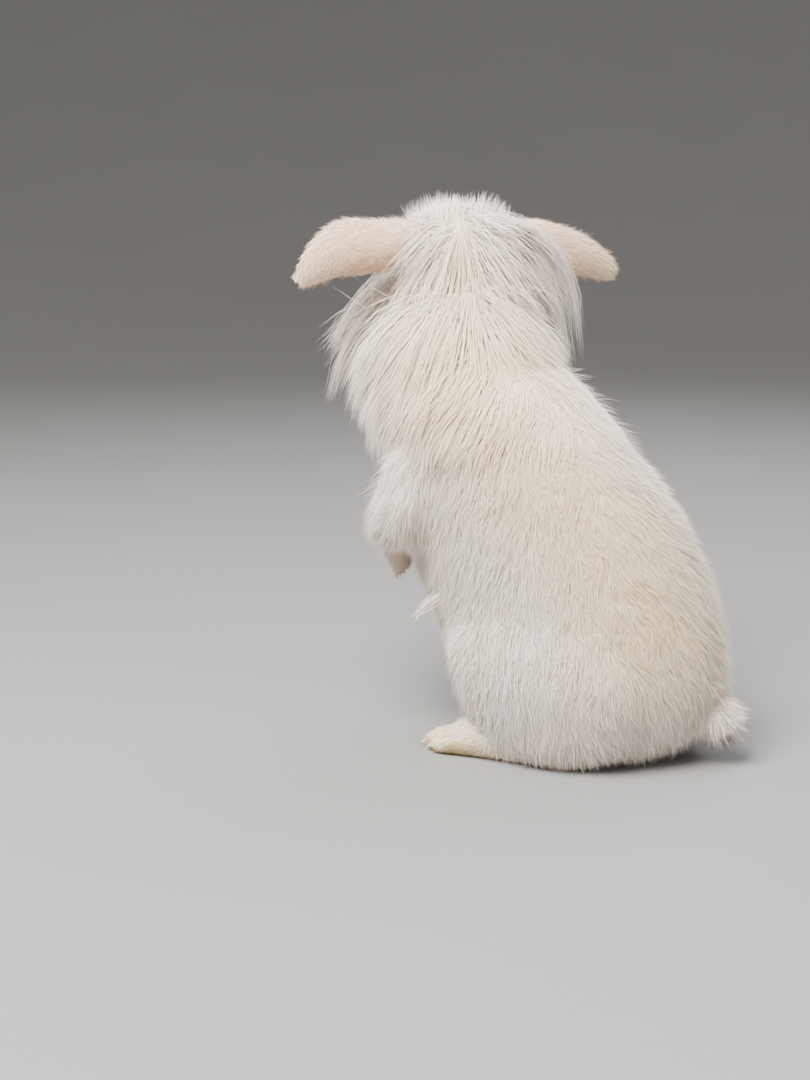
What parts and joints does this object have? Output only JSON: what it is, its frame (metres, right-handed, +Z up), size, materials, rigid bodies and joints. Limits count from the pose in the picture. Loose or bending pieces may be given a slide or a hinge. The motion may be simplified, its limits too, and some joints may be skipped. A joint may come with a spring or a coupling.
{
  "type": "rabbit model",
  "caption": "Life-size model of a white long-maned rabbit sitting up on its haunches with its head turned and ears spread.",
  "frame": {"origin": "middle of the part's box seen from above, on the floor", "axes": "+Z up from the floor, the hips face -Y and the rabbit's left side is +X"},
  "size_m": [0.1532, 0.2312, 0.2844],
  "materials": {
    "white_coat": "soft white fur",
    "foot_coat": "short cream fur",
    "ear_coat": "short pinkish fur",
    "eye": "wet dark blue"
  },
  "bodies": {
    "root": {"torso": "white_coat", "neck": "white_coat", "head": "white_coat", "tail": "white_coat", "eye_left": "eye", "eye_right": "eye", "ear_left": "ear_coat", "ear_right": "ear_coat", "thigh_left": "white_coat", "thigh_right": "white_coat", "hind_foot_left": "foot_coat", "hind_foot_right": "foot_coat", "foreleg_left": "white_coat", "foreleg_right": "white_coat", "forepaw_left": "foot_coat", "forepaw_right": "foot_coat"}
  },
  "joints": []
}
